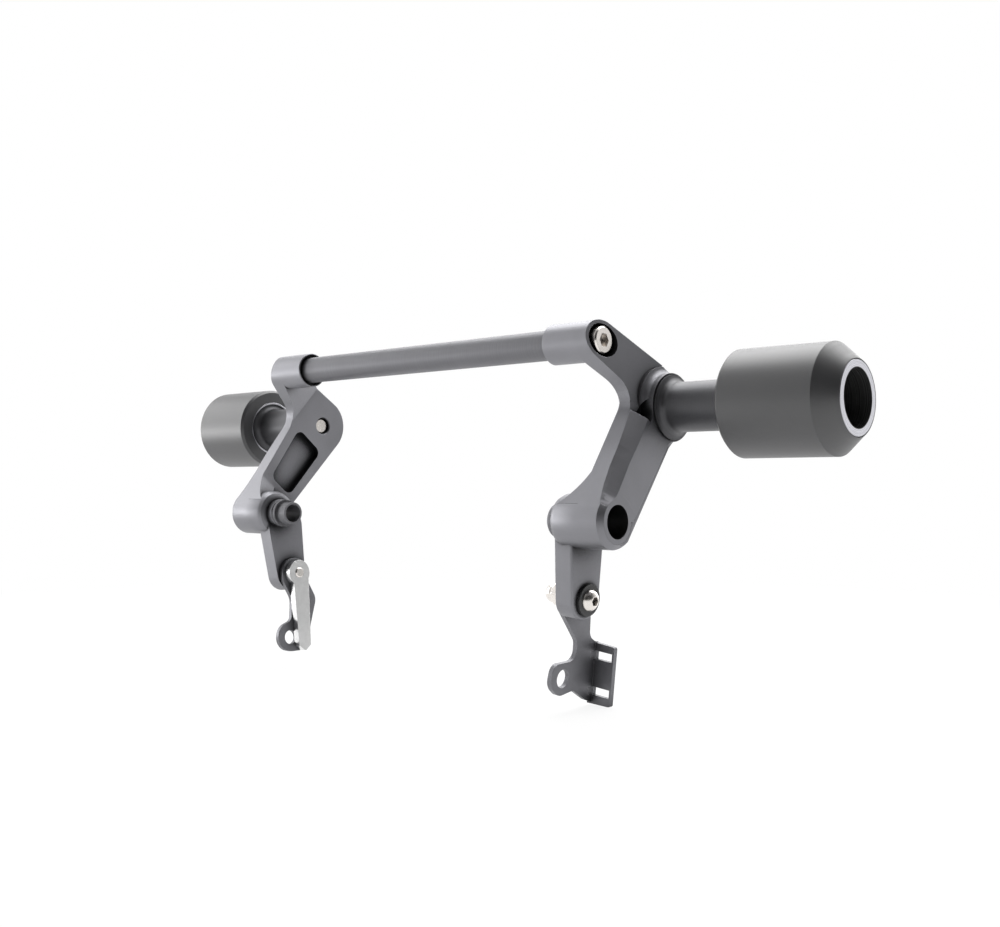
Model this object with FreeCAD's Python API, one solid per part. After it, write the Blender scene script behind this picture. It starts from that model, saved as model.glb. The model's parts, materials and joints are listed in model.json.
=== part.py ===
import FreeCAD, Part
import math
import os

from FreeCAD import Vector

os.makedirs("parts", exist_ok=True)

# Frame slider set for a motorcycle: two machined brackets joined by a crossbar,
# each with a post and a bobbin on the outside and a small sheet bracket below.
# Millimetres. X runs across the motorcycle, Y to the back, Z up.
# The right side is drawn, the left side is its mirror image but for a few pieces.

# Clearances
slip = 0.05
thread_slip = 0.05
bolt_slip = 0.4

# Bobbin, a turned block of hard polymer pressed on a metal core
bobbin_r = 25.0
bobbin_inner_x = 177.0
bobbin_cone_x = 224.15
bobbin_end_x = 233.35
bobbin_inner_edge = 1.5
core_r = 0.676 * bobbin_r
core_edge = 0.5
core_bore_r = 0.778 * core_r
core_recess_r = 0.941 * core_r
core_recess = 1.5
core_web = 12.0

# Post between the bracket and the bobbin core
post_r = 12.0
post_foot_r = 0.987 * core_recess_r
post_foot_rim = 0.9
post_foot_blend = 3.6

# Long bolt through core and post, M10
m10_r = 5.0
m10_head_r = 8.0
m10_head = 10.0
m10_key = 8.0
m10_key_depth = 5.0
m10_length = 65.0
m10_washer_r = 10.5
m10_washer = 2.0

# Hub of the bracket, on the axis of the bobbin
hub_r = 16.5
hub_seat_x = 138.9
hub_blend = 3.4
hub_hole_lead = 0.5

# Crossbar and its collar
bar_y = -33.65
bar_z = 30.65
bar_r = 7.4
bar_end_x = 108.0
bar_thread_depth = 26.0
collar_r = 9.9
collar_inner_x = 93.45
collar_outer_x = 116.0
collar_edge = 0.9
mouth_edge = 0.4
mouth_r = 9.1
mouth_depth = 3.0

# Crossbar bolt, M8
m8_r = 4.0
m8_head_r = 6.5
m8_head = 8.0
m8_key = 6.0
m8_key_depth = 4.0
m8_length = 25.0
m8_seat_x = 115.65
m8_counterbore_r = 8.15

# Relief groove below the collar
groove_r = 1.2
groove_depth = 1.1
groove_angle = -75.0

# Bracket arms: the upper arm leans outwards, the lower arm carries a raised rail
arm_inner_x = 125.5
diagonal_s = 31.2
crease_s = 26.5
upper_outer_slope = 0.33
upper_inner_slope = 0.49
crease_outer_x = 131.9
lower_outer_x = 132.2
lower_outer_slope = 0.105
waist_y = -36.2
waist_z = 4.0
waist_r = 12.0
front_wall = 1.6
channel_floor_x = 131.8
rail_half = 8.9
rail_blend = 6.0
rail_flat_t = 17.0
slope_end_x = 129.2

# Pocket in the inner face, as a share of the lower arm
pocket_depth = 4.2
pocket_corner_r = 4.5
pocket_top_t = 14.0
pocket_end_t = 50.3
pocket_front_top = -12.7
pocket_front_end = -9.2
pocket_back_top = 9.4
pocket_back_end = 8.6

# Lower boss, which takes the frame bolt
boss_y = -46.0
boss_z = -53.7
boss_r = 12.75
boss_inner_x = 110.0
boss_inner_edge = 3.4
boss_outer_x = 138.2
ring_r = 10.9
ring_edge = 0.7
ring_x = 140.7
frame_hole_r = 5.2
frame_counterbore_r = 7.85
frame_counterbore_x = 122.0
nose_r = 8.0
nose_x = 105.0
boss_groove_r = 11.55
flare_start_t = 53.0
flare_mid_t = 63.5
flare_mid_x = 120.2

# Sleeve of the left frame bore
sleeve_r = 6.4
sleeve_flange_r = 7.9
sleeve_flange = 2.0
sleeve_end_x = 95.7
sleeve_spigot_r = 6.9
sleeve_spigot = 4.0

# Lug below the boss: its own frame starts on the inner face at the tab bolt
lug_x = 106.7
lug_y = -38.0
lug_z = -89.6
lug_tilt = 6.0
lug_thick = 10.0
lug_r = 9.5
lug_edge = 1.2

# Tab bolt, M6, with washer and, on the right, a cap nut
m6_r = 3.0
m6_head_r = 5.25
m6_head = 3.3
m6_key = 4.0
m6_key_depth = 2.0
m6_washer_r = 7.6
m6_washer = 1.6
m6_right_end = -9.5
m6_left_proud = 0.6
nut_flat = 10.0
nut_height = 5.4
nut_total = 11.2
nut_thread = 8.4
dome_r = 4.6

# Sheet brackets
sheet = 2.5
tab_r = 8.9
eye_r = 8.3
right_eye_y = -0.6
right_eye_q = -39.5
eye_hole_r = 4.45
flange_back_y = 25.0
flange_reach = 11.5
flange_top_q = -24.2
flange_end_q = -54.6
slot_start = 0.6
slot_reach = 9.8
slot_height = 4.1
slot_window = 3.0
slot_upper_q = -30.3
slot_lower_q = -48.0
left_eye_y = -6.1
left_eye_q = -37.3
left_eye_hole_r = 4.0

# Hanger strap of the left side
strap = 4.5
strap_eye_r = 7.4
strap_top_half = 5.5
strap_end_half = 4.2
strap_tip_q = -46.1

# Seats that follow from the sizes above
post_end_x = bobbin_inner_x + core_recess
core_seat_x = post_end_x + core_web

origin = Vector(0.0, 0.0, 0.0)
x_dir = Vector(1.0, 0.0, 0.0)
bar_at = (bar_y, bar_z)
hub_at = (0.0, 0.0)
boss_at = (boss_y, boss_z)


def unit(a, b):
    # direction in the Y Z plane from a to b, with the distance
    dy = b[0] - a[0]
    dz = b[1] - a[1]
    length = math.hypot(dy, dz)
    return (dy / length, dz / length), length


upper_dir, upper_len = unit(bar_at, hub_at)
lower_dir, lower_len = unit(hub_at, boss_at)
# sideways of the lower arm, positive to the back
lower_side = (-lower_dir[1], lower_dir[0])


def on_arm(t, w):
    # point of the lower arm, t from the hub to the boss, w to the back
    y = t * lower_dir[0] + w * lower_side[0]
    z = t * lower_dir[1] + w * lower_side[1]
    return (y, z)


def at(x, p):
    return Vector(x, p[0], p[1])


def polar(c, r, angle):
    return (c[0] + r * math.cos(angle), c[1] + r * math.sin(angle))


def arc_edge(c, r, start, end, turn):
    # arc from start to end round c, anticlockwise for turn 1
    a0 = math.atan2(start[1] - c[1], start[0] - c[0])
    a1 = math.atan2(end[1] - c[1], end[0] - c[0])
    while turn * (a1 - a0) <= 1e-9:
        a1 += turn * 2.0 * math.pi
    mid = polar(c, r, 0.5 * (a0 + a1))
    return Part.Arc(at(0.0, start), at(0.0, mid), at(0.0, end)).toShape()


def tangent(one, two):
    # straight line that leaves circle one and meets circle two
    (c1, r1, t1), (c2, r2, t2) = one, two
    (dy, dz), length = unit(c1, c2)
    tilt = math.asin((t1 * r1 - t2 * r2) / length)
    angle = math.atan2(dz, dy) + tilt
    left = (-math.sin(angle), math.cos(angle))
    p1 = (c1[0] - t1 * r1 * left[0], c1[1] - t1 * r1 * left[1])
    p2 = (c2[0] - t2 * r2 * left[0], c2[1] - t2 * r2 * left[1])
    return p1, p2


def belt(circles):
    # closed outline that runs round circles, turn 1 outside and -1 hollow
    count = len(circles)
    lines = [tangent(circles[i], circles[(i + 1) % count]) for i in range(count)]
    edges = []
    for i in range(count):
        c, r, turn = circles[i]
        edges.append(arc_edge(c, r, lines[i - 1][1], lines[i][0], turn))
        edges.append(Part.makeLine(at(0.0, lines[i][0]), at(0.0, lines[i][1])))
    return Part.Wire(edges)


def rounded(corners):
    # closed outline with corners (u, v, radius)
    count = len(corners)
    edges = []
    ends = []
    for i in range(count):
        u, v, r = corners[i]
        before = unit((u, v), corners[i - 1][:2])[0]
        after = unit((u, v), corners[(i + 1) % count][:2])[0]
        if r == 0.0:
            ends.append(((u, v), None, (u, v)))
            continue
        cosine = before[0] * after[0] + before[1] * after[1]
        half = 0.5 * math.acos(max(-1.0, min(1.0, cosine)))
        reach = r / math.tan(half)
        middle = unit((0.0, 0.0), (before[0] + after[0], before[1] + after[1]))[0]
        away = r / math.sin(half) - r
        start = (u + before[0] * reach, v + before[1] * reach)
        end = (u + after[0] * reach, v + after[1] * reach)
        top = (u + middle[0] * away, v + middle[1] * away)
        ends.append((start, top, end))
    for i in range(count):
        start, top, end = ends[i]
        if top is not None:
            edges.append(Part.Arc(at(0.0, start), at(0.0, top), at(0.0, end)).toShape())
        following = ends[(i + 1) % count][0]
        if math.hypot(following[0] - end[0], following[1] - end[1]) > 1e-4:
            edges.append(Part.makeLine(at(0.0, end), at(0.0, following)))
    return Part.Wire(edges)


def prism(wire, x0, x1):
    face = Part.Face(wire)
    face.translate(Vector(x0, 0.0, 0.0))
    return face.extrude(Vector(x1 - x0, 0.0, 0.0))


def rod(x0, x1, r, c=hub_at):
    return Part.makeCylinder(r, x1 - x0, at(x0, c), x_dir)


def turned(profile, c=hub_at):
    # solid of revolution round X from (x, r) pairs
    points = [Vector(x, r, 0.0) for x, r in profile]
    face = Part.Face(Part.makePolygon(points + points[:1]))
    solid = face.revolve(origin, x_dir, 360.0)
    solid.translate(at(0.0, c))
    return solid


def turned_edges(edges, c=hub_at):
    face = Part.Face(Part.Wire(edges))
    solid = face.revolve(origin, x_dir, 360.0)
    solid.translate(at(0.0, c))
    return solid


def slab(start, direction, profile, half=90.0):
    # plate with an outline (distance along direction, x), wide to both sides
    side = Vector(0.0, -direction[1], direction[0])
    points = []
    for s, x in profile:
        p = (start[0] + s * direction[0], start[1] + s * direction[1])
        points.append(at(x, p) - side * half)
    face = Part.Face(Part.makePolygon(points + points[:1]))
    return face.extrude(side * (2.0 * half))


def hexagon(flat):
    r = flat / math.sqrt(3.0)
    corners = [polar((0.0, 0.0), r, math.radians(60.0 * k)) for k in range(6)]
    return Part.makePolygon([at(0.0, p) for p in corners + corners[:1]])


def edges_near(solid, x, p, reach):
    # edges along X whose middle lies close to a point of the outline
    found = []
    for edge in solid.Edges:
        box = edge.BoundBox
        if box.YLength > 0.5 or box.ZLength > 0.5 or box.XLength < 1.0:
            continue
        middle = edge.CenterOfMass
        if math.hypot(middle.y - p[0], middle.z - p[1]) < reach and box.XMax > x:
            found.append(edge)
    return found


def to_lug(solid):
    # from the frame of the lug to the frame of the bracket
    placed = solid.copy()
    placed.rotate(origin, Vector(0.0, 1.0, 0.0), lug_tilt)
    placed.translate(Vector(lug_x, lug_y, lug_z))
    return placed


def mirrored(solid):
    return solid.mirror(origin, x_dir)


def upper_outer(s):
    return crease_outer_x + (s - crease_s) * upper_outer_slope


def upper_inner(s):
    return arm_inner_x + (s - crease_s) * upper_inner_slope


# Outline of the bracket, seen from the side
arm_end = (bar_at, collar_r, 1)
waist = ((waist_y, waist_z), waist_r, -1)
boss_round = (boss_at, boss_r, 1)
hub_round = (hub_at, hub_r, 1)
outline = belt([arm_end, waist, boss_round, hub_round])


def make_rail():
    # raised rail from the post seat to the ring round the frame bore
    half = rail_half
    corners = [on_arm(0.0, -half), on_arm(lower_len, -half)]
    corners += [on_arm(lower_len, half), on_arm(0.0, half)]
    points = [at(0.0, p) for p in corners + corners[:1]]
    web = prism(Part.makePolygon(points), arm_inner_x, ring_x)
    hub = rod(arm_inner_x, ring_x, hub_r)
    rail = web.fuse(hub).removeSplitter()
    meet_t = math.sqrt(hub_r ** 2 - half ** 2)
    inner_corners = []
    for side in (-half, half):
        inner_corners += edges_near(rail, arm_inner_x, on_arm(meet_t, side), 1.0)
    rail = rail.makeFillet(rail_blend, inner_corners)
    rail = rail.fuse(rod(arm_inner_x, ring_x, ring_r, boss_at))
    reach = 2.0 * lower_len
    top = slab(hub_at, lower_dir, [
        (-reach, arm_inner_x),
        (reach, arm_inner_x),
        (reach, ring_x),
        (lower_len - ring_r, ring_x),
        (rail_flat_t, hub_seat_x),
        (-reach, hub_seat_x),
    ])
    return rail.common(top)


def make_back_slope():
    # slope from the back edge of the rail down to the back edge of the arm
    section = [
        at(arm_inner_x, on_arm(0.0, 0.0)),
        at(hub_seat_x, on_arm(0.0, 0.0)),
        at(hub_seat_x, on_arm(0.0, rail_half)),
        at(slope_end_x, on_arm(0.0, hub_r)),
        at(arm_inner_x, on_arm(0.0, hub_r)),
    ]
    along = at(0.0, on_arm(lower_len, 0.0))
    return Part.Face(Part.makePolygon(section + section[:1])).extrude(along)


def make_channel():
    # channel between the front wall and the rail, with the groove round the ring
    inner_waist = ((waist_y, waist_z), waist_r + front_wall, -1)
    groove_round = (boss_at, boss_groove_r, 1)
    leave, arrive = tangent(inner_waist, groove_round)
    top_start = polar((waist_y, waist_z), waist_r + front_wall, math.radians(0.0))
    beside_hub = polar(hub_at, hub_r + hub_blend, math.radians(150.0))
    foot = polar(boss_at, boss_groove_r, math.radians(-90.0))
    edges = [
        arc_edge((waist_y, waist_z), waist_r + front_wall, top_start, leave, -1),
        Part.makeLine(at(0.0, leave), at(0.0, arrive)),
        arc_edge(boss_at, boss_groove_r, arrive, foot, 1),
        Part.makeLine(at(0.0, foot), at(0.0, boss_at)),
        Part.makeLine(at(0.0, boss_at), at(0.0, hub_at)),
        Part.makeLine(at(0.0, hub_at), at(0.0, beside_hub)),
        Part.makeLine(at(0.0, beside_hub), at(0.0, top_start)),
    ]
    cut = prism(Part.Wire(edges), channel_floor_x, ring_x + lug_thick)
    reach = 3.0 * upper_len
    keep = slab(bar_at, upper_dir, [
        (diagonal_s, arm_inner_x),
        (reach, arm_inner_x),
        (reach, ring_x + lug_thick),
        (diagonal_s, ring_x + lug_thick),
    ])
    return cut.common(keep)


def make_pocket():
    corners = [
        on_arm(pocket_top_t, pocket_front_top),
        on_arm(pocket_end_t, pocket_front_end),
        on_arm(pocket_end_t, pocket_back_end),
        on_arm(pocket_top_t, pocket_back_top),
    ]
    wire = rounded([(p[0], p[1], pocket_corner_r) for p in corners])
    return prism(wire, boss_inner_x, arm_inner_x + pocket_depth)


def make_hub_blend():
    # hollow blend between the upper arm and the round seat of the post
    base_x = upper_outer(diagonal_s)
    low = Vector(base_x, hub_r + hub_blend, 0.0)
    high = Vector(base_x + hub_blend, hub_r, 0.0)
    corner = 1.0 - math.sqrt(0.5)
    middle = Vector(base_x + hub_blend * corner, hub_r + hub_blend * corner, 0.0)
    inside = hub_r - hub_blend
    start = Vector(arm_inner_x + hub_blend, hub_r + hub_blend, 0.0)
    edges = [
        Part.Arc(low, middle, high).toShape(),
        Part.makeLine(high, Vector(high.x, inside, 0.0)),
        Part.makeLine(Vector(high.x, inside, 0.0), Vector(start.x, inside, 0.0)),
        Part.makeLine(Vector(start.x, inside, 0.0), start),
        Part.makeLine(start, low),
    ]
    return turned_edges(edges)


def make_flare():
    # hollow ramp from the inner face of the arm to the inner end of the boss
    def on_ramp(t, x):
        return at(x, on_arm(t, -2.0 * boss_r))

    start = on_ramp(flare_start_t, arm_inner_x)
    end = on_ramp(lower_len, boss_inner_x + boss_inner_edge)
    middle = on_ramp(flare_mid_t, flare_mid_x)
    back_end = on_ramp(lower_len, arm_inner_x + front_wall)
    back_start = on_ramp(flare_start_t, arm_inner_x + front_wall)
    face = Part.Face(Part.Wire([
        Part.Arc(start, middle, end).toShape(),
        Part.makeLine(end, back_end),
        Part.makeLine(back_end, back_start),
        Part.makeLine(back_start, start),
    ]))
    return face.extrude(at(0.0, lower_side) * (1.75 * boss_r))


def make_lug():
    r = lug_r
    boss_q = (boss_z - lug_z) / math.cos(math.radians(lug_tilt))
    boss_v = boss_y - lug_y
    wire = rounded([
        (-r, -r, r - 0.01),
        (r, -r, r - 0.01),
        (r - 0.3, boss_q - 2.0, r),
        (boss_v + 0.3 * boss_r, boss_q + 0.5 * boss_r, 0.0),
        (boss_v - 0.6 * boss_r, boss_q, 0.0),
        (boss_v - 0.55 * boss_r, 0.8 * boss_q, 0.0),
    ])
    lug = prism(wire, 0.0, lug_thick)
    outer = [e for e in lug.Edges if abs(e.BoundBox.XMin - lug_thick) < 0.01
             and e.BoundBox.ZMin < 0.5 * boss_q]
    return to_lug(lug.makeFillet(lug_edge, outer))


def make_bracket():
    plate = prism(outline, collar_inner_x, ring_x + lug_thick)
    channel = make_channel()
    far = 3.0 * upper_len
    back = -2.0 * collar_r
    upper = plate.common(slab(bar_at, upper_dir, [
        (back, upper_inner(back)),
        (crease_s, arm_inner_x),
        (diagonal_s, arm_inner_x),
        (diagonal_s, upper_outer(diagonal_s)),
        (back, upper_outer(back)),
    ]))
    low_t = 1.5 * lower_len
    top_t = -0.5 * lower_len
    lower = plate.common(slab(hub_at, lower_dir, [
        (top_t, arm_inner_x),
        (low_t, arm_inner_x),
        (low_t, lower_outer_x + low_t * lower_outer_slope),
        (top_t, lower_outer_x + top_t * lower_outer_slope),
    ]))
    below = slab(bar_at, upper_dir, [
        (diagonal_s, collar_inner_x),
        (far, collar_inner_x),
        (far, ring_x + lug_thick),
        (diagonal_s, ring_x + lug_thick),
    ])
    lower = lower.common(below)
    boss = rod(arm_inner_x, boss_outer_x, boss_r, boss_at)
    lower = lower.fuse(boss)
    body = upper.fuse(lower).cut(channel)
    body = body.fuse(make_rail())
    body = body.fuse(make_back_slope().common(plate).common(below))
    body = body.fuse(make_hub_blend().common(plate).cut(channel))
    body = body.fuse(make_flare().common(plate))
    collar = turned([
        (collar_inner_x, 0.0),
        (collar_inner_x, collar_r - mouth_edge),
        (collar_inner_x + mouth_edge, collar_r),
        (collar_outer_x, collar_r),
        (collar_outer_x, 0.0),
    ], bar_at)
    nose = turned([
        (nose_x, 0.0),
        (nose_x, nose_r - collar_edge),
        (nose_x + collar_edge, nose_r),
        (boss_inner_x, nose_r),
        (boss_inner_x, boss_r - boss_inner_edge),
        (boss_inner_x + 0.3 * boss_inner_edge, boss_r - 0.3 * boss_inner_edge),
        (boss_inner_x + boss_inner_edge, boss_r),
        (arm_inner_x + front_wall, boss_r),
        (arm_inner_x + front_wall, 0.0),
    ], boss_at)
    body = body.fuse([collar, nose, make_lug()])
    body = body.cut(make_pocket().cut(nose))

    # bar socket with its wider mouth, bolt hole and counterbore
    cuts = [rod(collar_inner_x - 1.0, bar_end_x, bar_r + slip, bar_at)]
    cuts.append(rod(collar_inner_x - 1.0, collar_inner_x + mouth_depth, mouth_r, bar_at))
    cuts.append(rod(bar_end_x - 1.0, m8_seat_x + 1.0, m8_r + bolt_slip, bar_at))
    cuts.append(rod(m8_seat_x, ring_x, m8_counterbore_r, bar_at))
    # relief groove with a round end
    angle = math.radians(groove_angle)
    centre = polar(bar_at, collar_r + groove_r - groove_depth, angle)
    groove_end = collar_outer_x - groove_r
    cuts.append(rod(collar_inner_x - 1.0, groove_end, groove_r, centre))
    cuts.append(Part.makeSphere(1.25 * groove_r, at(groove_end, centre)))
    # hub hole with a lead at the inner face
    cuts.append(turned([
        (arm_inner_x - 1.0, 0.0),
        (arm_inner_x - 1.0, m10_r + thread_slip + hub_hole_lead),
        (arm_inner_x, m10_r + thread_slip + hub_hole_lead),
        (arm_inner_x + hub_hole_lead, m10_r + thread_slip),
        (ring_x, m10_r + thread_slip),
        (ring_x, 0.0),
    ]))
    # frame bore
    cuts.append(rod(nose_x - 1.0, ring_x, frame_hole_r, boss_at))
    cuts.append(rod(frame_counterbore_x, ring_x + 1.0, frame_counterbore_r, boss_at))
    edge_cut = rod(ring_x - ring_edge, ring_x + 1.0, ring_r + 1.0, boss_at)
    edge_keep = turned([
        (ring_x - ring_edge, 0.0),
        (ring_x - ring_edge, ring_r),
        (ring_x, ring_r - ring_edge),
        (ring_x + 1.0, ring_r - ring_edge),
        (ring_x + 1.0, 0.0),
    ], boss_at)
    cuts.append(edge_cut.cut(edge_keep).cut(make_back_slope()))
    # hole of the tab bolt
    cuts.append(to_lug(rod(-1.0, lug_thick + 1.0, m6_r + bolt_slip)))
    return body.cut(cuts)


def make_post():
    # tube with a foot at each end, blended into it by a hollow quarter round
    bore = m10_r + bolt_slip
    corner = 1.0 - math.sqrt(0.5)
    foot_r = post_foot_r - 0.1 * post_foot_rim
    rise = post_foot_r - post_r

    def foot(end, way):
        # points from the seat of the foot to the plain tube
        rim = end + way * post_foot_rim
        low = Vector(rim, post_foot_r, 0.0)
        middle = Vector(rim + way * post_foot_blend * corner, post_r + rise * corner, 0.0)
        high = Vector(rim + way * post_foot_blend, post_r, 0.0)
        return Vector(end, bore, 0.0), Vector(end, foot_r, 0.0), low, middle, high

    in_bore, in_seat, in_low, in_middle, in_high = foot(hub_seat_x, 1.0)
    out_bore, out_seat, out_low, out_middle, out_high = foot(post_end_x, -1.0)
    return turned_edges([
        Part.makeLine(in_bore, in_seat),
        Part.makeLine(in_seat, in_low),
        Part.Arc(in_low, in_middle, in_high).toShape(),
        Part.makeLine(in_high, out_high),
        Part.Arc(out_high, out_middle, out_low).toShape(),
        Part.makeLine(out_low, out_seat),
        Part.makeLine(out_seat, out_bore),
        Part.makeLine(out_bore, in_bore),
    ])


def make_bobbin():
    return turned([
        (bobbin_inner_x, core_r),
        (bobbin_inner_x, bobbin_r - bobbin_inner_edge),
        (bobbin_inner_x + bobbin_inner_edge, bobbin_r),
        (bobbin_cone_x, bobbin_r),
        (bobbin_end_x, core_r + slip),
        (bobbin_end_x, core_r),
    ])


def make_core():
    hole = m10_r + bolt_slip
    return turned([
        (bobbin_inner_x, core_recess_r),
        (bobbin_inner_x, core_r),
        (bobbin_end_x - core_edge, core_r),
        (bobbin_end_x, core_r - core_edge),
        (bobbin_end_x, core_bore_r),
        (core_seat_x, core_bore_r),
        (core_seat_x, hole),
        (post_end_x, hole),
        (post_end_x, core_recess_r),
    ])


def make_m10_washer():
    hole = m10_r + bolt_slip
    x0 = core_seat_x
    return rod(x0, x0 + m10_washer, m10_washer_r).cut(rod(x0 - 1.0, x0 + 5.0, hole))


def cap_bolt(seat_x, r, head_r, head, key, key_depth, length, c):
    # socket head screw with its head to the outside
    edge = 0.1 * head_r
    tip = 0.2 * r
    solid = turned([
        (seat_x - length, 0.0),
        (seat_x - length, r - tip),
        (seat_x - length + tip, r),
        (seat_x, r),
        (seat_x, head_r),
        (seat_x + head - edge, head_r),
        (seat_x + head, head_r - edge),
        (seat_x + head, 0.0),
    ], c)
    socket = prism(hexagon(key), seat_x + head - key_depth, seat_x + head + 1.0)
    socket.translate(at(0.0, c))
    return solid.cut(socket)


def make_crossbar():
    bar = rod(-bar_end_x, bar_end_x, bar_r, bar_at)
    thread = m8_r + thread_slip
    inside = bar_end_x - bar_thread_depth
    right = rod(inside, bar_end_x + 1.0, thread, bar_at)
    left = rod(-bar_end_x - 1.0, -inside, thread, bar_at)
    return bar.cut([right, left])


def make_sleeve():
    sleeve = turned([
        (sleeve_end_x, frame_hole_r),
        (sleeve_end_x, sleeve_r),
        (nose_x - sleeve_flange, sleeve_r),
        (nose_x - sleeve_flange, sleeve_flange_r),
        (nose_x, sleeve_flange_r),
        (nose_x, sleeve_spigot_r),
        (nose_x + sleeve_spigot, sleeve_spigot_r),
        (nose_x + sleeve_spigot, frame_hole_r),
    ], boss_at)
    return sleeve


def make_tab_bolt(end):
    # button head on the outside washer, end given along its axis
    seat = lug_thick + m6_washer
    r = m6_head_r
    dome = [
        Part.Arc(
            Vector(seat, r, 0.0),
            Vector(seat + 0.62 * m6_head, 0.82 * r, 0.0),
            Vector(seat + m6_head, 0.48 * r, 0.0),
        ).toShape(),
    ]
    rest = [
        Vector(seat + m6_head, 0.48 * r, 0.0),
        Vector(seat + m6_head, 0.0, 0.0),
        Vector(end, 0.0, 0.0),
        Vector(end, m6_r - 0.6, 0.0),
        Vector(end + 0.6, m6_r, 0.0),
        Vector(seat, m6_r, 0.0),
        Vector(seat, r, 0.0),
    ]
    dome += [Part.makeLine(rest[i], rest[i + 1]) for i in range(len(rest) - 1)]
    bolt = turned_edges(dome)
    key = prism(hexagon(m6_key), seat + m6_head - m6_key_depth, seat + m6_head + 1.0)
    return to_lug(bolt.cut(key))


def make_tab_washer():
    outer = rod(lug_thick, lug_thick + m6_washer, m6_washer_r)
    return to_lug(outer.cut(rod(0.0, lug_thick + 5.0, m6_r + bolt_slip)))


def make_tab_nut():
    # cap nut: hexagon with a domed, closed end
    base = -sheet
    top = base - nut_height
    end = base - nut_total
    r = 0.5 * nut_flat
    crown = turned([
        (base, 0.0),
        (base, 1.06 * r),
        (base - 0.8, 1.16 * r),
        (top + 0.8, 1.16 * r),
        (top, r),
        (top, 0.0),
    ])
    body = prism(hexagon(nut_flat), top, base).common(crown)
    dome = turned_edges([
        Part.makeLine(Vector(top, 0.0, 0.0), Vector(top, dome_r, 0.0)),
        Part.makeLine(Vector(top, dome_r, 0.0), Vector(top - 1.0, dome_r, 0.0)),
        Part.Arc(
            Vector(top - 1.0, dome_r, 0.0),
            Vector(end + 0.25 * dome_r, 0.75 * dome_r, 0.0),
            Vector(end, 0.25 * dome_r, 0.0),
        ).toShape(),
        Part.makeLine(Vector(end, 0.25 * dome_r, 0.0), Vector(end, 0.0, 0.0)),
        Part.makeLine(Vector(end, 0.0, 0.0), Vector(top, 0.0, 0.0)),
    ])
    thread_end = base - nut_thread
    hole = rod(thread_end, 1.0, m6_r + thread_slip)
    return to_lug(body.fuse(dome).cut(hole).removeSplitter())


def lobe(c, size, shape):
    # corners round a centre, as shares of a size
    return [(c[0] + u * size, c[1] + v * size, r * size) for u, v, r in shape]


def make_right_fairing_bracket():
    # blade with an eye at the front and a flange with two slots at the back
    back = flange_back_y
    eye = (right_eye_y, right_eye_q)
    bend = 2.0 * sheet
    corners = lobe(hub_at, tab_r, [(-1.0, 1.0, 0.99), (1.0, 1.0, 0.99), (1.9, -1.22, 1.0)])
    corners += [
        (back - 3.0 * sheet, flange_top_q + 1.3 * sheet, bend),
        (back - 1.2 * sheet, flange_top_q + 0.2 * sheet, sheet),
        (back, flange_top_q, 0.0),
        (back, flange_end_q, 0.0),
        (back - 2.9 * sheet, flange_end_q + sheet, bend),
    ]
    corners += lobe(eye, eye_r, [
        (0.99, -0.81, 0.72),
        (-0.29, -1.02, 0.78),
        (-1.11, -0.36, 0.78),
        (-0.89, 0.88, 0.6),
        (1.06, 0.93, 0.6),
    ])
    corners += lobe(hub_at, tab_r, [(0.9, -2.53, 0.56), (-0.73, -0.62, 0.79)])
    plate = prism(rounded(corners), -sheet, 0.0)
    top_q = flange_top_q
    low = flange_end_q
    profile = rounded([
        (-sheet, top_q, 0.0),
        (flange_reach, top_q - 0.6, 1.2),
        (flange_reach, low + 0.6, 1.2),
        (-sheet, low, 0.0),
    ])
    flange = prism(profile, 0.0, sheet)
    # the flange outline is drawn in the plane of the lug, then turned to the back
    flange.rotate(origin, Vector(0.0, 0.0, 1.0), -90.0)
    flange.translate(Vector(0.0, back, 0.0))
    body = plate.fuse(flange)
    cuts = [rod(-sheet - 1.0, 1.0, eye_hole_r, eye)]
    cuts.append(rod(-sheet - 1.0, 1.0, m6_r + bolt_slip))
    for q in (slot_upper_q, slot_lower_q):
        low_q = q - 0.5 * slot_height
        through = 3.0 * sheet
        slot_at = Vector(slot_start, back - 2.0 * sheet, low_q)
        cuts.append(Part.makeBox(slot_reach, through, slot_height, slot_at))
        window_at = Vector(-sheet - 1.0, back - sheet - slot_window, low_q)
        cuts.append(Part.makeBox(through, slot_window, slot_height, window_at))
    return to_lug(body.cut(cuts).removeSplitter())


def make_left_fairing_bracket():
    eye = (left_eye_y, left_eye_q)
    corners = lobe(hub_at, tab_r, [
        (-1.0, 1.0, 0.99),
        (1.0, 1.0, 0.99),
        (1.01, -0.56, 0.9),
        (1.64, -1.78, 0.79),
        (1.1, -3.37, 0.9),
    ])
    corners += lobe(eye, eye_r, [
        (1.36, -1.0, 0.72),
        (0.0, -1.0, 0.72),
        (-1.12, -0.69, 0.96),
        (-0.95, 0.76, 0.96),
        (0.18, 1.17, 0.48),
    ])
    corners += lobe(hub_at, tab_r, [(-0.36, -1.69, 0.9), (-1.0, -0.45, 0.67)])
    wire = rounded(corners)
    body = prism(wire, -sheet, 0.0)
    cuts = [rod(-sheet - 1.0, 1.0, left_eye_hole_r, eye)]
    cuts.append(rod(-sheet - 1.0, 1.0, m6_r + bolt_slip))
    return to_lug(body.cut(cuts))


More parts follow.
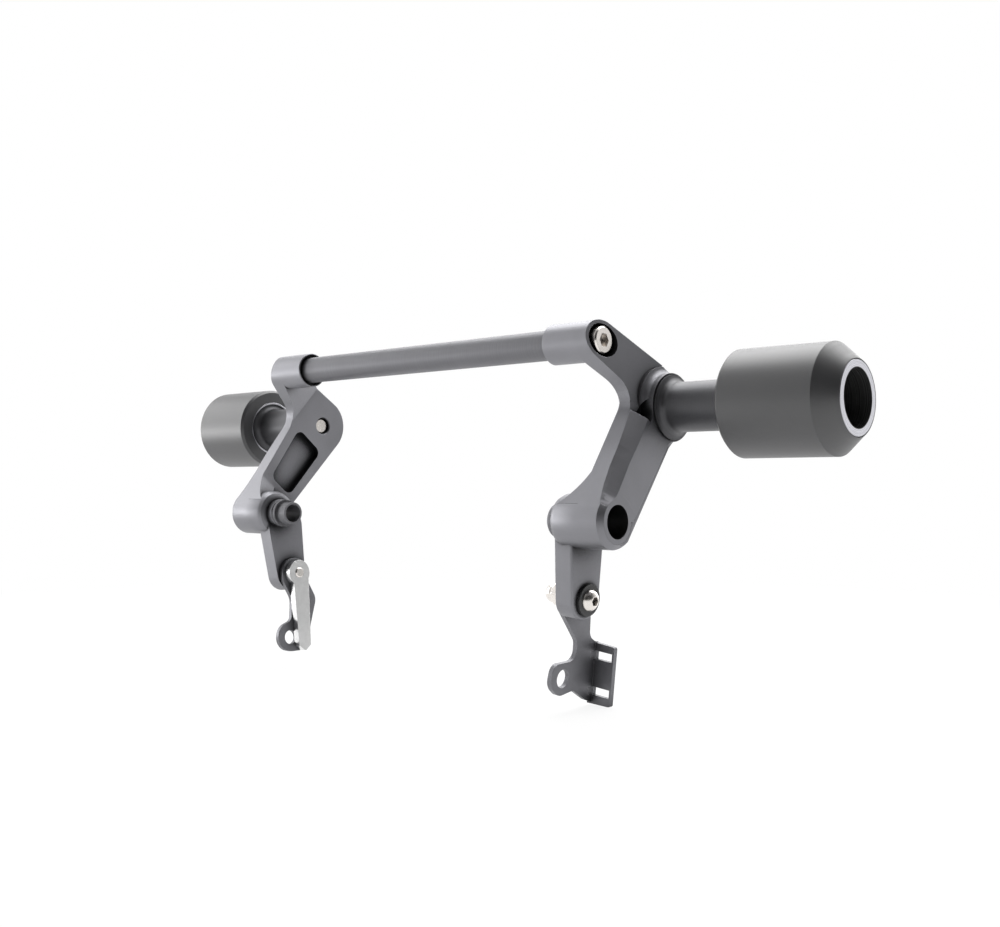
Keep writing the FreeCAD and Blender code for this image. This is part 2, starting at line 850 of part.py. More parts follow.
def make_strap():
    # eye round the tab bolt, with its own thread, and a straight blade below it
    lean = 1.0
    tip = strap_tip_q
    outer = -sheet - strap
    wire = rounded([
        (lean - strap_top_half, 0.0, 0.0),
        (lean - strap_end_half, tip + 3.4, 1.2),
        (lean, tip, 1.5),
        (lean + strap_end_half, tip + 3.4, 1.2),
        (lean + strap_top_half, 0.0, 0.0),
    ])
    body = rod(outer, -sheet, strap_eye_r).fuse(prism(wire, outer, -sheet))
    hole = rod(outer - 1.0, 0.0, m6_r + thread_slip)
    return to_lug(body.cut(hole).removeSplitter())


m6_left_end = -sheet - strap - m6_left_proud
right_bracket = make_bracket()
sleeve = make_sleeve()
spigot_room = rod(nose_x - 1.0, nose_x + sleeve_spigot, sleeve_spigot_r, boss_at)
left_bracket = mirrored(right_bracket.cut(spigot_room))
core = make_core()
bobbin = make_bobbin()
post = make_post()
m10_washer_solid = make_m10_washer()
m10_bolt = cap_bolt(
    core_seat_x + m10_washer, m10_r, m10_head_r, m10_head,
    m10_key, m10_key_depth, m10_length, hub_at,
)
m8_bolt = cap_bolt(
    m8_seat_x, m8_r, m8_head_r, m8_head, m8_key, m8_key_depth, m8_length, bar_at,
)
tab_washer = make_tab_washer()

parts = {
    "crossbar": make_crossbar(),
    "right_bracket": right_bracket,
    "right_crossbar_bolt": m8_bolt,
    "right_post": post,
    "right_bobbin": bobbin,
    "right_bobbin_core": core,
    "right_bobbin_washer": m10_washer_solid,
    "right_bobbin_bolt": m10_bolt,
    "right_tab_bolt": make_tab_bolt(m6_right_end),
    "right_tab_washer": tab_washer,
    "right_tab_nut": make_tab_nut(),
    "right_fairing_bracket": make_right_fairing_bracket(),
    "left_bracket": left_bracket,
    "left_crossbar_bolt": mirrored(m8_bolt),
    "left_post": mirrored(post),
    "left_bobbin": mirrored(bobbin),
    "left_bobbin_core": mirrored(core),
    "left_bobbin_washer": mirrored(m10_washer_solid),
    "left_bobbin_bolt": mirrored(m10_bolt),
    "left_frame_sleeve": mirrored(sleeve),
    "left_tab_bolt": mirrored(make_tab_bolt(m6_left_end)),
    "left_tab_washer": mirrored(tab_washer),
    "left_fairing_bracket": mirrored(make_left_fairing_bracket()),
    "left_hanger_strap": mirrored(make_strap()),
}

# The origin of the part is the middle of its overall box
whole = Part.makeCompound(list(parts.values())).optimalBoundingBox(False, False)
shift = Vector(0.0, -whole.Center.y, -whole.Center.z)
for name, solid in parts.items():
    placed = solid.copy()
    placed.translate(shift)
    if len(placed.Solids) == 1:
        placed = placed.Solids[0]
    placed.exportStep("parts/" + name + ".step")
    print(name, placed.ShapeType, placed.isValid(), round(placed.Volume, 1))
print("shift", shift)
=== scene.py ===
import json
import math

import bmesh
import bpy
from mathutils import Matrix, Vector


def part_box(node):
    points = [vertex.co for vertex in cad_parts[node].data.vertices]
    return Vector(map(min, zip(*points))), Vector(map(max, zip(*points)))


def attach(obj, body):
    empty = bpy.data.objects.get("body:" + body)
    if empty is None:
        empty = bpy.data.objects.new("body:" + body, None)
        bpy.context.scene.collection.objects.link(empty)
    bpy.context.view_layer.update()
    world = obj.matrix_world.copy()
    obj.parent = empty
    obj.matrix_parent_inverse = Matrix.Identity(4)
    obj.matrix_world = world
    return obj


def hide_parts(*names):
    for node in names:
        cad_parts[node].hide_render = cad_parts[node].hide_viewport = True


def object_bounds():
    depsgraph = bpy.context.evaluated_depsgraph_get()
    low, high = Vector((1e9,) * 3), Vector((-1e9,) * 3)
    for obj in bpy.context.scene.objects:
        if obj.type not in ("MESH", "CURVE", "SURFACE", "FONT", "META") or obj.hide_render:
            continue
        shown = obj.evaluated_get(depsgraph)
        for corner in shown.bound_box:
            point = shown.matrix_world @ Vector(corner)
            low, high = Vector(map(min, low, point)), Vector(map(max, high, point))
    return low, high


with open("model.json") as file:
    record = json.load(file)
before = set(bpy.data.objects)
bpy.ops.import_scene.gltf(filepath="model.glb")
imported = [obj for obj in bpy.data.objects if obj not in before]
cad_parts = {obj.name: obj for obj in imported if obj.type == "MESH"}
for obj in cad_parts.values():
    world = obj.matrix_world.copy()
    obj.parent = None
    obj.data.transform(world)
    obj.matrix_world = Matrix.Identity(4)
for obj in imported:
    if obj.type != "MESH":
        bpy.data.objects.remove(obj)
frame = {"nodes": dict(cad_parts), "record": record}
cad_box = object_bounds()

# Motorcycle frame slider set. Metres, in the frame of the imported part:
# X runs across the motorcycle to its right side, Y to the back, Z up.

mm = 0.001
scene = bpy.context.scene
nodes = frame["nodes"]
record = frame["record"]


def axis_through(name):
    """Where the axis along X through the middle of a node meets the middle plane."""
    low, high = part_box(name)
    middle = (Vector(low) + Vector(high)) * 0.5
    return Vector((0.0, middle.y, middle.z))


# Axes that the rest is measured from
hub_axis = axis_through("right_bobbin")
bar_axis = axis_through("crossbar")

# Camera: fitted to the photograph, placed from the axis of the bobbins
camera_from_hub = Vector((462.08, -471.71, -36.54)) * mm
camera_azimuth = math.radians(42.732)
camera_elevation = math.radians(-0.985)
photo_width = 1000.0
focal_pixels = 1183.1
sensor_width = 36.0
nearest_seen = 0.01
farthest_seen = 60.0


def make_camera():
    data = bpy.data.cameras.new("camera")
    data.sensor_fit = "HORIZONTAL"
    data.sensor_width = sensor_width
    data.lens = sensor_width * focal_pixels / photo_width
    data.clip_start = nearest_seen
    data.clip_end = farthest_seen
    camera = bpy.data.objects.new("camera", data)
    scene.collection.objects.link(camera)
    back = Vector((
        math.sin(camera_azimuth) * math.cos(camera_elevation),
        -math.cos(camera_azimuth) * math.cos(camera_elevation),
        math.sin(camera_elevation),
    ))
    right = Vector((0.0, 0.0, 1.0)).cross(back).normalized()
    up = back.cross(right)
    turn = Matrix((right, up, back)).transposed()
    camera.matrix_world = Matrix.Translation(hub_axis + camera_from_hub) @ turn.to_4x4()
    scene.camera = camera


def add_range(tree, value, low, high, start, end, curve="LINEAR"):
    """From number start at value low to end at value high, level beyond both."""
    span = tree.nodes.new("ShaderNodeMapRange")
    span.interpolation_type = curve
    numbers = {"From Min": low, "From Max": high, "To Min": start, "To Max": end}
    for socket, number in numbers.items():
        span.inputs[socket].default_value = number
    tree.links.new(value, span.inputs["Value"])
    return span.outputs["Result"]


# Materials
socket_names = {
    "base_color": "Base Color",
    "metallic": "Metallic",
    "roughness": "Roughness",
    "specular": "Specular IOR Level",
}

# Cosine between the true and the rounded normal, for the painted highlight on edges: on flat ground and on
# a sharp edge
flat_cosine = 0.995
edge_cosine = 0.75

# Reach of the painted shade in small recesses, in which the colour of all dull surfaces is painted darker
recess_shade_reach = 8.0 * mm

# Painted shade in the bobbin core: its bore is painted dark out to just outside the bore, and the colour
# turns bright over a narrow edge
bore_shade_radius = 13.3 * mm
bore_shade_edge = 0.1 * mm


class Surface:
    """A material with a Principled shader, and short calls that add its nodes."""

    def __init__(self, name):
        self.material = bpy.data.materials.new(name)
        self.material.use_nodes = True
        self.tree = self.material.node_tree
        self.shader = self.tree.nodes["Principled BSDF"]
        self.place = self.node("ShaderNodeTexCoord").outputs["Object"]

    def node(self, kind, **values):
        made = self.tree.nodes.new(kind)
        for key, value in values.items():
            setattr(made, key, value)
        return made

    def link(self, source, target):
        self.tree.links.new(source, target)

    def give(self, value, socket):
        """Links an output to a socket, or sets the socket to a number or colour."""
        if hasattr(value, "is_linked"):
            self.link(value, socket)
        else:
            socket.default_value = value

    def noise(self, scale, detail, roughness=0.55, stretch=(1.0, 1.0, 1.0)):
        """Noise with scale features to the metre."""
        mapping = self.node("ShaderNodeMapping")
        mapping.inputs["Scale"].default_value = stretch
        self.link(self.place, mapping.inputs["Vector"])
        noise = self.node("ShaderNodeTexNoise")
        noise.inputs["Scale"].default_value = scale
        noise.inputs["Detail"].default_value = detail
        noise.inputs["Roughness"].default_value = roughness
        self.link(mapping.outputs["Vector"], noise.inputs["Vector"])
        return noise.outputs["Fac"]

    def ramp(self, value, low, high, start, end):
        """From colour start at value low to end at value high."""
        ramp = self.node("ShaderNodeValToRGB")
        for element, at, colour in zip(ramp.color_ramp.elements, (low, high), (start, end)):
            element.position = at
            element.color = (*colour, 1.0)
        self.link(value, ramp.inputs["Fac"])
        return ramp.outputs["Color"]

    def span(self, value, low, high, start, end):
        """From number start at value low to end at value high, level beyond both."""
        return add_range(self.tree, value, low, high, start, end)

    def mix(self, share, one, two):
        """Colour one where share is 0 and colour two where it is 1."""
        mix = self.node("ShaderNodeMix", data_type="RGBA")
        share_socket, one_socket, two_socket = (mix.inputs[place] for place in (0, 6, 7))
        self.give(share, share_socket)
        for colour, socket in ((one, one_socket), (two, two_socket)):
            self.give(colour if hasattr(colour, "is_linked") else (*colour, 1.0), socket)
        colour_output = 2
        return mix.outputs[colour_output]

    def maths(self, operation, one, two=0.0):
        maths = self.node("ShaderNodeMath", operation=operation)
        self.give(one, maths.inputs[0])
        self.give(two, maths.inputs[1])
        return maths.outputs[0]

    def rounded(self, radius):
        """The normal, with sharp edges rounded."""
        bevel = self.node("ShaderNodeBevel", samples=6)
        bevel.inputs["Radius"].default_value = radius
        return bevel.outputs["Normal"]

    def edge_highlight_mask(self, radius, share):
        """Mask for a painted highlight: the number share on sharp edges, 0 on flat ground."""
        geometry = self.node("ShaderNodeNewGeometry")
        cosine = self.node("ShaderNodeVectorMath", operation="DOT_PRODUCT")
        self.link(self.rounded(radius), cosine.inputs[0])
        self.link(geometry.outputs["True Normal"], cosine.inputs[1])
        return self.span(cosine.outputs["Value"], flat_cosine, edge_cosine, 0.0, share)

    def recess_shade_mask(self, reach, low=0.35, high=0.95):
        """Mask for painted shade: 0 in deep corners and recesses, 1 on open ground."""
        shade = self.node("ShaderNodeAmbientOcclusion", samples=8)
        shade.inputs["Distance"].default_value = reach
        return self.span(shade.outputs["AO"], low, high, 0.0, 1.0)

    def radius(self, axis):
        """Distance from an axis along X, and the place along that axis."""
        offset = self.node("ShaderNodeVectorMath", operation="SUBTRACT")
        self.link(self.place, offset.inputs[0])
        offset.inputs[1].default_value = axis
        parts = self.node("ShaderNodeSeparateXYZ")
        self.link(offset.outputs["Vector"], parts.inputs[0])
        y2 = self.maths("MULTIPLY", parts.outputs["Y"], parts.outputs["Y"])
        z2 = self.maths("MULTIPLY", parts.outputs["Z"], parts.outputs["Z"])
        return self.maths("SQRT", self.maths("ADD", y2, z2)), parts.outputs["X"]

    def rings(self, axis, pitch):
        """Turning marks round an axis along X, as a height."""
        radius, along = self.radius(axis)
        line = self.node("ShaderNodeTexNoise", noise_dimensions="1D")
        line.inputs["Scale"].default_value = 1.0 / pitch
        line.inputs["Detail"].default_value = 3.0
        line.inputs["Roughness"].default_value = 0.35
        self.link(self.maths("ADD", along, radius), line.inputs["W"])
        return line.outputs["Fac"]

    def bump(self, height, strength, distance, round_edge):
        """Small relief on top of rounded edges."""
        bump = self.node("ShaderNodeBump")
        bump.inputs["Strength"].default_value = strength
        bump.inputs["Distance"].default_value = distance
        self.link(height, bump.inputs["Height"])
        self.link(self.rounded(round_edge), bump.inputs["Normal"])
        self.link(bump.outputs["Normal"], self.shader.inputs["Normal"])

    def set(self, **values):
        """Numbers, colours or outputs for the sockets of the shader."""
        for key, value in values.items():
            self.give(value, self.shader.inputs[socket_names[key]])


def grey(level, warm=0.0):
    return (level * (1.0 + warm), level, level * (1.0 - warm))


def slate(level):
    """The faintly blue grey of the anodised metal, the paint and the polymer."""
    return (level, level, level * 1.07)


def anodised(name, level, metal, rough):
    """Machined and bead blasted aluminium, anodised grey black."""
    s = Surface(name)
    cloud = s.noise(scale=45.0, detail=3.0)
    base = s.ramp(cloud, 0.3, 0.75, slate(level * 0.92), slate(level * 1.08))
    speck = s.noise(scale=2600.0, detail=2.0, roughness=0.6)
    base = s.mix(s.span(speck, 0.62, 0.8, 0.0, 0.25), base, slate(level * 1.6))
    # Painted highlight along sharp edges
    base = s.mix(s.edge_highlight_mask(0.35 * mm, share=0.5), base, slate(level * 2.2))
    # Painted shade: darker in wide hollows and in small recesses
    shadow = slate(level * 0.1)
    base = s.mix(s.recess_shade_mask(24.0 * mm, low=0.65, high=0.93), shadow, base)
    base = s.mix(s.recess_shade_mask(recess_shade_reach), shadow, base)
    s.set(base_color=base, metallic=metal)
    s.set(roughness=s.span(cloud, 0.3, 0.7, rough - 0.04, rough + 0.05))
    grain = s.noise(scale=3400.0, detail=3.0, roughness=0.6)
    s.bump(grain, strength=0.1, distance=0.04 * mm, round_edge=0.3 * mm)
    return s.material


def turned_metal(name, level, axis, metal, rough, pitch, strength, bore=0.0):
    """Turned metal with fine rings round its axis, a painted highlight on sharp edges, painted shade in
    recesses, and painted shade inside the radius bore, dark and without shine.
    """
    s = Surface(name)
    line = s.rings(axis, pitch)
    cloud = s.noise(scale=70.0, detail=3.0)
    dark = slate(level * 0.86)
    light = slate(level * 1.1)
    base = s.mix(s.span(cloud, 0.3, 0.7, 0.0, 0.5), s.ramp(line, 0.35, 0.65, dark, light), dark)
    # Painted highlight on sharp edges
    base = s.mix(s.edge_highlight_mask(0.3 * mm, share=0.4), base, slate(min(1.0, level * 1.8)))
    # Painted shade in recesses
    base = s.mix(s.recess_shade_mask(recess_shade_reach), slate(level * 0.3), base)
    # Painted shade in the bore: dark and without shine inside its radius
    if bore > 0.0:
        radius, _ = s.radius(axis)
        inside = s.span(radius, bore, bore + bore_shade_edge, 1.0, 0.0)
        base = s.mix(inside, base, grey(0.03))
        metal = s.span(inside, 0.0, 1.0, metal, 0.0)
    s.set(base_color=base, metallic=metal)
    s.set(roughness=s.span(line, 0.3, 0.7, rough - 0.05, rough + 0.06))
    s.bump(line, strength, distance=0.03 * mm, round_edge=0.25 * mm)
    return s.material


def polymer(name, level, axis, pitch):
    """Turned acetal, satin, with the faint rings of the lathe and a few scuffs."""
    s = Surface(name)
    line = s.rings(axis, pitch)
    cloud = s.noise(scale=60.0, detail=4.0)
    base = s.ramp(cloud, 0.3, 0.7, slate(level * 0.95), slate(level * 1.05))
    base = s.mix(s.span(line, 0.55, 0.75, 0.0, 0.2), base, slate(level * 1.25))
    scuff = s.noise(scale=900.0, detail=3.0, roughness=0.6, stretch=(0.2, 1.0, 1.0))
    base = s.mix(s.span(scuff, 0.68, 0.85, 0.0, 0.3), base, slate(level * 1.5))
    # Painted highlight on sharp edges
    base = s.mix(s.edge_highlight_mask(0.5 * mm, share=0.35), base, slate(level * 2.0))
    s.set(base_color=base, roughness=s.span(line, 0.3, 0.7, 0.38, 0.46), specular=1.0)
    relief = s.maths("ADD", line, s.maths("MULTIPLY", scuff, 0.5))
    s.bump(relief, strength=0.16, distance=0.05 * mm, round_edge=0.4 * mm)
    return s.material


def powder(name, level, metal):
    """Coated sheet metal: fine orange peel, with a painted highlight along the edges and painted shade in
    recesses.
    """
    s = Surface(name)
    cloud = s.noise(scale=80.0, detail=3.0)
    peel = s.noise(scale=1500.0, detail=2.0, roughness=0.4)
    base = s.ramp(cloud, 0.3, 0.7, slate(level * 0.9), slate(level * 1.1))
    # Painted highlight along the edges, and painted shade in recesses
    base = s.mix(s.edge_highlight_mask(0.3 * mm, share=0.5), base, slate(level * 2.2))
    base = s.mix(s.recess_shade_mask(recess_shade_reach), slate(level * 0.3), base)
    s.set(base_color=base, roughness=s.span(peel, 0.3, 0.7, 0.4, 0.5), metallic=metal)
    s.bump(peel, strength=0.15, distance=0.05 * mm, round_edge=0.3 * mm)
    return s.material


def bright_steel(name, level, tint, rough):
    """Stainless or zinc plated steel, with fine scratches and duller spots."""
    s = Surface(name)
    scratch = s.noise(scale=420.0, detail=3.0, roughness=0.6, stretch=(0.15, 1.0, 2.5))
    spot = s.noise(scale=160.0, detail=3.0)
    base = s.ramp(spot, 0.35, 0.7, grey(level * 0.93, tint), grey(min(1.0, level * 1.03), tint))
    base = s.mix(s.span(scratch, 0.62, 0.85, 0.0, 0.3), base, grey(level * 0.75, tint))
    # Painted shade in small recesses
    base = s.mix(s.recess_shade_mask(2.5 * mm, low=0.3, high=0.85), grey(level * 0.1, tint), base)
    s.set(base_color=base, metallic=1.0)
    s.set(roughness=s.span(scratch, 0.3, 0.75, rough - 0.03, rough + 0.06))
    s.bump(scratch, strength=0.05, distance=0.02 * mm, round_edge=0.2 * mm)
    return s.material


# How each material slot of the record is made
looks = {
    "anodised_bracket": (anodised, dict(level=0.24, metal=0.85, rough=0.45)),
    "bar_black": (turned_metal, dict(
        level=0.16, axis=bar_axis, metal=0.6, rough=0.5, pitch=0.5 * mm, strength=0.08)),
    "post_black": (turned_metal, dict(
        level=0.08, axis=hub_axis, metal=0.6, rough=0.4, pitch=0.25 * mm, strength=0.03)),
    "bobbin_polymer": (polymer, dict(level=0.034, axis=hub_axis, pitch=0.35 * mm)),
    "core_metal": (turned_metal, dict(
        level=0.66, axis=hub_axis, metal=1.0, rough=0.26, pitch=0.3 * mm, strength=0.2, bore=bore_shade_radius)),
    "bolt_steel": (bright_steel, dict(level=0.82, tint=0.05, rough=0.24)),
    "washer_black": (powder, dict(level=0.03, metal=0.0)),
    "sleeve_metal": (turned_metal, dict(
        level=0.14, axis=hub_axis, metal=0.4, rough=0.5, pitch=0.3 * mm, strength=0.25)),
    "sheet_black": (powder, dict(level=0.19, metal=0.75)),
    "strap_steel": (bright_steel, dict(level=0.85, tint=0.0, rough=0.22)),
}


def make_materials():
    return {slot: make(slot, **values) for slot, (make, values) in looks.items()}


# Chamfer along the front side of each lower arm, from the raised flat down to the front
# face, and on round the boss of the frame bore as a cone.
# Places on the arm, in millimetres: t from the hub axis down to the boss axis, w to the
# back, x outwards from the middle plane.
frame_bore = next(mount for mount in record["mounts"] if mount["name"] == "right_frame_bore")
boss = Vector(frame_bore["pos_m"])
arm = Vector((0.0, boss.y, boss.z)) - hub_axis
arm_down = arm.normalized()
arm_back = Vector((0.0, -arm_down.z, arm_down.y))
boss_t = arm.length / mm

# Where along the arm the chamfer is measured; its cut starts a little higher up
cut_start_t = 14.0
strip_places = (18.0, 20.0, 23.0, 28.0, 33.0, 38.0, 44.0, 51.0, 56.0,
                60.0, 61.5, 63.0, 64.5, 66.0, 67.5, 69.0, 70.7, 72.0)

# Upper edge of the chamfer: pairs of t and x of the flat, and of t and w of its edge,
# which bends at the end into the circle round the boss
flat_height = ((17.0, 138.9), (59.808, 140.7))
flat_edge = ((18.0, -11.2), (25.0, -10.5), (32.0, -9.9), (43.0, -9.8), (51.0, -9.1),
             (60.0, -8.37), (61.5, -8.28), (63.0, -8.36), (64.5, -8.66), (66.0, -9.18), (67.5, -9.74),
             (69.0, -10.13), (70.7, -10.3), (72.0, -10.22))

# Lower edge: pairs of t and x, on the front face, whose w rises evenly from front_w at front_t
front_height = ((18.0, 132.5), (28.0, 133.7), (38.0, 134.5), (51.0, 134.7), (60.0, 135.6),
                (67.0, 136.9), (72.0, 138.25))
front_w = -18.16
front_t = 19.26
front_rise = 0.1039

# The metal under the chamfer reaches down to strip_low_x, and in under the flat, but
# less far from boss_side_t on, where the bolt well is near
strip_low_x = 131.0
under_flat = 2.0
under_ring = 0.5
boss_side_t = 64.0

# Cone round the boss, and how far down its metal reaches
cone_inner_r = 10.3
cone_outer_r = 12.75
cone_outer_x = 138.25
cone_low_x = 137.0

# Plate that closes the groove between the ring of the boss and the flat
plate_inner_r = 10.0
plate_outer_r = 12.1

# Angles round the boss, from one end to the other: 0 points down the arm, 90 to the back
cone_angles = (-92.0, 130.0)
plate_angles = (130.0, 224.0)
cone_room_angles = (-86.0, 108.0)
cone_steps = 96
plate_steps = 48

# Towards the back the cut of the cone runs out: pairs of angle and shift outwards
cone_room_fade = ((50.0, 0.0), (108.0, 2.5))

# How far a cutting body reaches past the metal, and a lift that keeps faces apart
over_x = 145.0
over_w = 3.0
lift = 0.004

# Edges sharper than this angle stay sharp in the shading
sharp_angle = math.radians(24.0)

# Corners of a mesh nearer to each other than this are one corner
same_place = 0.0005 * mm


def between(pairs, t):
    """Straight line through pairs of place and value, level beyond both ends."""
    if t <= pairs[0][0]:
        return pairs[0][1]
    for (t0, v0), (t1, v1) in zip(pairs, pairs[1:]):
        if t <= t1:
            return v0 + (v1 - v0) * (t - t0) / (t1 - t0)
    return pairs[-1][1]


def strip_edges(t):
    """Upper edge and lower edge of the chamfer, each as w and x."""
    upper = (between(flat_edge, t), between(flat_height, t) + lift)
    lower = (front_w + front_rise * (t - front_t), between(front_height, t))
    return upper, lower


def strip_section(t):
    """The metal under the chamfer, from inside the raised flat to the front face."""
    (edge, high), (front, low) = strip_edges(t)
    inside = edge + (under_flat if t < boss_side_t else under_ring)
    front += lift
    return [(inside, high), (edge, high), (front, low), (front, strip_low_x), (inside, strip_low_x)]


def room_section(t):
    """The room above the chamfer, to beyond the front face."""
    (edge, high), (front, low) = strip_edges(t)
    end = low - (high - low) / (edge - front) * over_w
    return [(edge, high), (edge, over_x), (front - over_w, over_x), (front - over_w, end)]


def along_arm(section, places):
    """Sections w, x of the arm at places t."""
    return [[(t, w, x) for w, x in section(t)] for t in places]


def round_boss(profile, angles, steps, fade=((0.0, 0.0),)):
    """Sections r, x turned round the boss, with r shifted outwards by fade."""
    start, end = (math.radians(angle) for angle in angles)
    sections = []
    for step in range(steps + 1):
        angle = start + (end - start) * step / steps
        shift = between(fade, math.degrees(angle))
        down = math.cos(angle)
        back = math.sin(angle)
        sections.append([(boss_t + (r + shift) * down, (r + shift) * back, x) for r, x in profile])
    return sections


def skin(name, side, sections):
    """A solid through sections, each a list of places t, w, x."""
    points = []
    for section in sections:
        for t, w, x in section:
            p = hub_axis + (arm_down * t + arm_back * w) * mm
            points.append((side * x * mm, p.y, p.z))
    count = len(sections[0])
    last = (len(sections) - 1) * count
    faces = [tuple(range(count)), tuple(range(last, last + count))]
    for first in range(0, last, count):
        second = first + count
        for k in range(count):
            n = (k + 1) % count
            faces.append((first + k, first + n, second + n, second + k))
    mesh = bpy.data.meshes.new(name)
    mesh.from_pydata(points, [], faces)
    shape = bmesh.new()
    shape.from_mesh(mesh)
    bmesh.ops.triangulate(shape, faces=shape.faces)
    bmesh.ops.recalc_face_normals(shape, faces=shape.faces)
    shape.to_mesh(mesh)
    shape.free()
    solid = bpy.data.objects.new(name, mesh)
    scene.collection.objects.link(solid)
    return solid


def chamfer_steps(side):
    """Cuts and joins that make the chamfer, in their order."""
    ring_x = between(flat_height, boss_t)
    fall = (ring_x - cone_outer_x) / (cone_outer_r - cone_inner_r)
    plate = [
        (plate_inner_r, ring_x),
        (plate_outer_r, ring_x),
        (plate_outer_r, cone_outer_x),
        (plate_inner_r, cone_outer_x),
    ]
    cone_room = [
        (cone_inner_r, ring_x + lift),
        (cone_inner_r, over_x),
        (cone_outer_r + over_w, over_x),
        (cone_outer_r + over_w, cone_outer_x - fall * over_w),
    ]
    cone = [
        (cone_inner_r, ring_x + lift),
        (cone_outer_r - lift, cone_outer_x),
        (cone_outer_r - lift, cone_low_x),
        (cone_inner_r, cone_low_x),
    ]
    return (
        ("DIFFERENCE", skin("room", side, along_arm(room_section, (cut_start_t, *strip_places)))),
        ("UNION", skin("plate", side, round_boss(plate, plate_angles, plate_steps))),
        ("DIFFERENCE", skin("cone_room", side, round_boss(
            cone_room, cone_room_angles, cone_steps, cone_room_fade))),
        ("UNION", skin("strip", side, along_arm(strip_section, strip_places))),
        ("UNION", skin("cone", side, round_boss(cone, cone_angles, cone_steps))),
    )


def combine(target, tool, operation):
    """Cut or join one solid with another and drop the tool."""
    modifier = target.modifiers.new("combine", "BOOLEAN")
    modifier.operation = operation
    modifier.solver = "EXACT"
    modifier.object = tool
    graph = bpy.context.evaluated_depsgraph_get()
    mesh = bpy.data.meshes.new_from_object(target.evaluated_get(graph))
    target.modifiers.remove(modifier)
    target.data = mesh
    bpy.data.objects.remove(tool)


def close_mesh(mesh):
    """Joins the corners of a mesh whose faces came apart along their edges."""
    if mesh.has_custom_normals:
        mesh.attributes.remove(mesh.attributes["custom_normal"])
    shape = bmesh.new()
    shape.from_mesh(mesh)
    bmesh.ops.remove_doubles(shape, verts=shape.verts, dist=same_place)
    bmesh.ops.recalc_face_normals(shape, faces=shape.faces)
    shape.to_mesh(mesh)
    shape.free()


def make_chamfered_bracket(name, node, side, material):
    """The bracket with its front chamfer, in place of the plain solid."""
    bracket = bpy.data.objects.new(name, nodes[node].data.copy())
    scene.collection.objects.link(bracket)
    bracket.matrix_world = nodes[node].matrix_world
    close_mesh(bracket.data)
    for operation, solid in chamfer_steps(side):
        combine(bracket, solid, operation)
    mesh = bracket.data
    mesh.materials.clear()
    mesh.materials.append(material)
    mesh.polygons.foreach_set("use_smooth", [True] * len(mesh.polygons))
    mesh.set_sharp_from_angle(angle=sharp_angle)
    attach(bracket, "root")
    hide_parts(node)


def dress_nodes(materials):
    """Gives each node the material of its slot in the record."""
    slots = {part["node"]: part["material_slot"] for part in record["subparts"]}
    for name, obj in nodes.items():
        obj.data.materials.clear()
        obj.data.materials.append(materials[slots[name]])
        for face in obj.data.polygons:
            face.material_index = 0


# Studio
white = (1.0, 1.0, 1.0, 1.0)

# The room is white and lit from bright_side, and dark where the camera stands
bright_side = (-0.8, 0.6, 0.0)
dark_until = -0.8
bright_from = 0.35
dark_level = 0.04

# Pale floor just under the part. As seen, it has white_near of plain white close to the
# part, so that the shadow shows, and is all white from far_reach on.
floor_gap = 0.2 * mm
floor_half = 25.0
floor_grey = 0.9
white_near = 0.88
near_reach = 0.35
far_reach = 0.7

# Name, place, aim, width, height and power in watts of each lamp
lamps = (
    ("top", (-0.2, 0.5, 1.2), (0.0, 0.0, 0.0), 1.8, 1.2, 24.0),
    ("left", (-1.1, -0.3, 0.25), (-0.2, 0.0, 0.0), 1.0, 1.0, 7.0),
    ("low", (-0.62, -0.35, 0.0), (-0.2, 0.0, 0.03), 0.5, 0.15, 0.8),
    ("behind", (-0.3, 1.2, 0.3), (0.0, 0.0, 0.0), 1.6, 1.0, 8.0),
)


def area_light(name, place, aim, width, height, power):
    data = bpy.data.lights.new(name, "AREA")
    data.shape = "RECTANGLE"
    data.size = width
    data.size_y = height
    data.energy = power
    light = bpy.data.objects.new(name, data)
    scene.collection.objects.link(light)
    light.location = place
    direction = Vector(aim) - Vector(place)
    light.rotation_euler = direction.to_track_quat("-Z", "Y").to_euler()


def seen_share(tree, *rays):
    """1 for the named kinds of ray, 0 for all others."""
    path = tree.nodes.new("ShaderNodeLightPath")
    total = path.outputs[rays[0]]
    for ray in rays[1:]:
        join = tree.nodes.new("ShaderNodeMath")
        join.operation = "MAXIMUM"
        tree.links.new(total, join.inputs[0])
        tree.links.new(path.outputs[ray], join.inputs[1])
        total = join.outputs[0]
    return total


def mix_shaders(tree, share, one, two, output):
    """Shader one where share is 0 and shader two where it is 1, as the surface."""
    mix = tree.nodes.new("ShaderNodeMixShader")
    tree.links.new(share, mix.inputs[0])
    tree.links.new(one.outputs[0], mix.inputs[1])
    tree.links.new(two.outputs[0], mix.inputs[2])
    tree.links.new(mix.outputs[0], tree.nodes[output].inputs["Surface"])


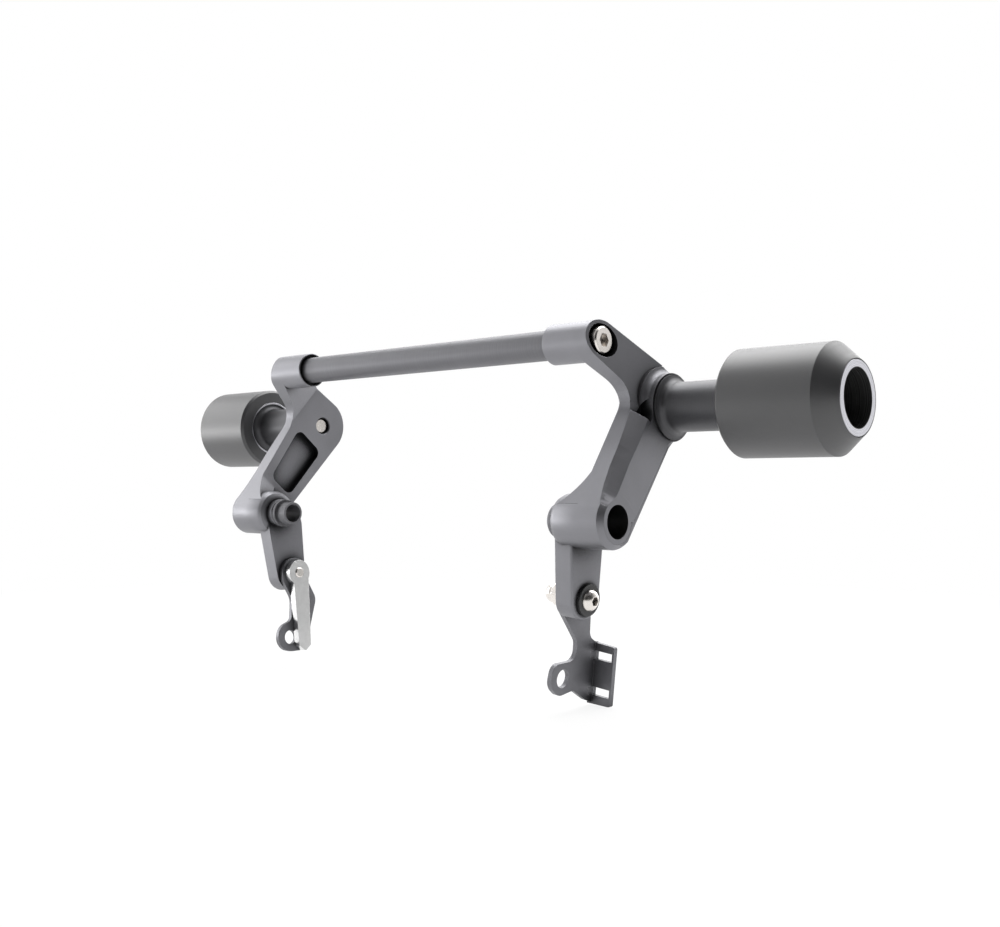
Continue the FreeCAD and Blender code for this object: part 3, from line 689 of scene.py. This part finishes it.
def make_world():
    """Light from the white side of the room, and plain white for the camera."""
    world = bpy.data.worlds.new("studio")
    scene.world = world
    world.use_nodes = True
    tree = world.node_tree
    place = tree.nodes.new("ShaderNodeTexCoord")
    facing = tree.nodes.new("ShaderNodeVectorMath")
    facing.operation = "DOT_PRODUCT"
    tree.links.new(place.outputs["Generated"], facing.inputs[0])
    facing.inputs[1].default_value = bright_side
    level = add_range(tree, facing.outputs["Value"], dark_until, bright_from, dark_level, 1.0, "SMOOTHSTEP")
    lit = tree.nodes["Background"]
    lit.inputs["Color"].default_value = white
    tree.links.new(level, lit.inputs["Strength"])
    seen = tree.nodes.new("ShaderNodeBackground")
    seen.inputs["Color"].default_value = white
    seen.inputs["Strength"].default_value = 1.0
    mix_shaders(tree, seen_share(tree, "Is Camera Ray"), lit, seen, "World Output")


def make_floor():
    level = cad_box[0][2] - floor_gap
    corners = [(x * floor_half, y * floor_half, level) for x, y in ((-1, -1), (1, -1), (1, 1), (-1, 1))]
    mesh = bpy.data.meshes.new("floor")
    mesh.from_pydata(corners, [], [(0, 1, 2, 3)])
    floor = bpy.data.objects.new("floor", mesh)
    scene.collection.objects.link(floor)
    material = bpy.data.materials.new("floor_pale")
    material.use_nodes = True
    tree = material.node_tree
    shader = tree.nodes["Principled BSDF"]
    shader.inputs["Base Color"].default_value = (floor_grey, floor_grey, floor_grey, 1.0)
    shader.inputs["Roughness"].default_value = 0.9
    glow = tree.nodes.new("ShaderNodeEmission")
    glow.inputs["Color"].default_value = white
    glow.inputs["Strength"].default_value = 1.0
    place = tree.nodes.new("ShaderNodeTexCoord")
    distance = tree.nodes.new("ShaderNodeVectorMath")
    distance.operation = "LENGTH"
    tree.links.new(place.outputs["Object"], distance.inputs[0])
    fade = add_range(tree, distance.outputs["Value"], near_reach, far_reach, white_near, 1.0)
    share = tree.nodes.new("ShaderNodeMath")
    share.operation = "MULTIPLY"
    rays = seen_share(tree, "Is Camera Ray", "Is Glossy Ray", "Is Transmission Ray")
    tree.links.new(rays, share.inputs[0])
    tree.links.new(fade, share.inputs[1])
    mix_shaders(tree, share.outputs[0], shader, glow, "Material Output")
    mesh.materials.append(material)


make_camera()
materials = make_materials()
dress_nodes(materials)
metal = materials["anodised_bracket"]
make_chamfered_bracket("right_bracket_chamfered", "right_bracket", 1.0, metal)
make_chamfered_bracket("left_bracket_chamfered", "left_bracket", -1.0, metal)
make_world()
make_floor()
for lamp in lamps:
    area_light(*lamp)
scene.view_settings.view_transform = "Standard"
